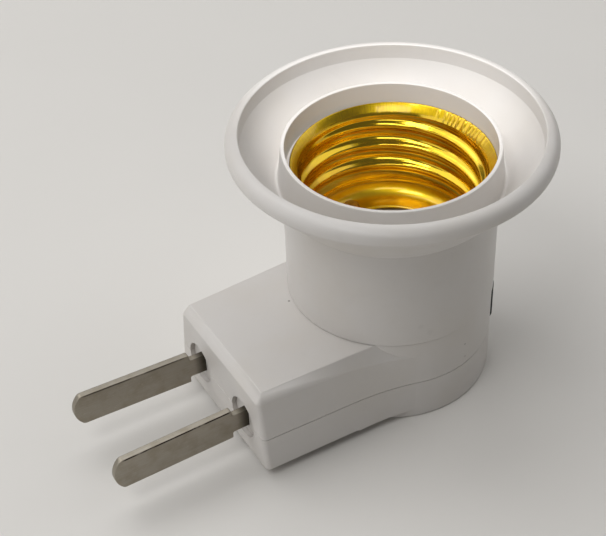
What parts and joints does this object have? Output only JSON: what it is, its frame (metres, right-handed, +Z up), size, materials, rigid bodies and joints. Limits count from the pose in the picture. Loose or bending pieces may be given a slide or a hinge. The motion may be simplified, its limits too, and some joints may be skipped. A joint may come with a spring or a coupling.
{
  "type": "plug-in lamp holder",
  "caption": "White plug-in lamp holder: flat mains pins on a block, a screw lamp socket in a flared cup above it, and a rocker switch at the back.",
  "frame": {"origin": "the cup's axis on the plane that the round base stands on", "axes": "+Z up the cup's axis towards the lamp, -X along the pins out of the plug face, +Y to the right of someone who looks along +X from the pins, so the rocker faces +X"},
  "size_m": [0.071, 0.045, 0.041],
  "materials": {
    "white_plastic": "satin white moulding",
    "black_plastic": "satin black moulding",
    "grey_ceramic": "matt insulating base",
    "golden_sheet": "bright gold-coloured rolled sheet",
    "brass": "plain stamped sheet and rivets",
    "nickel": "dull nickel plate with stamping marks",
    "zinc_steel": "bright zinc plate"
  },
  "bodies": {
    "housing": {"lamp_cup": "white_plastic", "upper_base": "white_plastic", "lower_cover": "white_plastic", "screw_shell": "golden_sheet", "contact_base": "grey_ceramic", "shell_rivet_near": "brass", "shell_rivet_far": "brass", "centre_rivet": "brass", "centre_contact": "brass", "live_strip": "brass", "neutral_strip": "brass", "switch_strip": "brass", "switch_frame": "black_plastic", "common_terminal": "brass", "outer_terminal": "brass", "cover_screw_front": "zinc_steel", "cover_screw_near": "zinc_steel", "cover_screw_far": "zinc_steel", "holder_screw_near": "zinc_steel", "holder_screw_far": "zinc_steel"},
    "near_pin": {"pin_near": "nickel", "pin_hub_near": "white_plastic"},
    "far_pin": {"pin_far": "nickel", "pin_hub_far": "white_plastic"},
    "rocker": {"rocker": "black_plastic", "plunger": "brass"},
    "switch_arm": {"switch_arm": "brass"}
  },
  "joints": [
    {"name": "near_pin_turn", "type": "hinge", "parent": "housing", "child": "near_pin", "pos_m": [-0.0287, -0.00635, 0.00685], "axis": [1, 0, 0], "range_deg": [-30, 0]},
    {"name": "far_pin_turn", "type": "hinge", "parent": "housing", "child": "far_pin", "pos_m": [-0.0287, 0.00635, 0.00685], "axis": [1, 0, 0], "range_deg": [0, 30]},
    {"name": "rocker_tilt", "type": "hinge", "parent": "housing", "child": "rocker", "pos_m": [0.01195, 0, 0.00905], "axis": [0, 0, 1], "range_deg": [0, 19]},
    {"name": "arm_tilt", "type": "hinge", "parent": "housing", "child": "switch_arm", "pos_m": [0.00815, 0, 0.00905], "axis": [0, 0, 1], "range_deg": [-11.4, 0]}
  ],
  "couplings": [
    {"joint": "arm_tilt", "follows": "rocker_tilt", "ratio": -0.6}
  ]
}
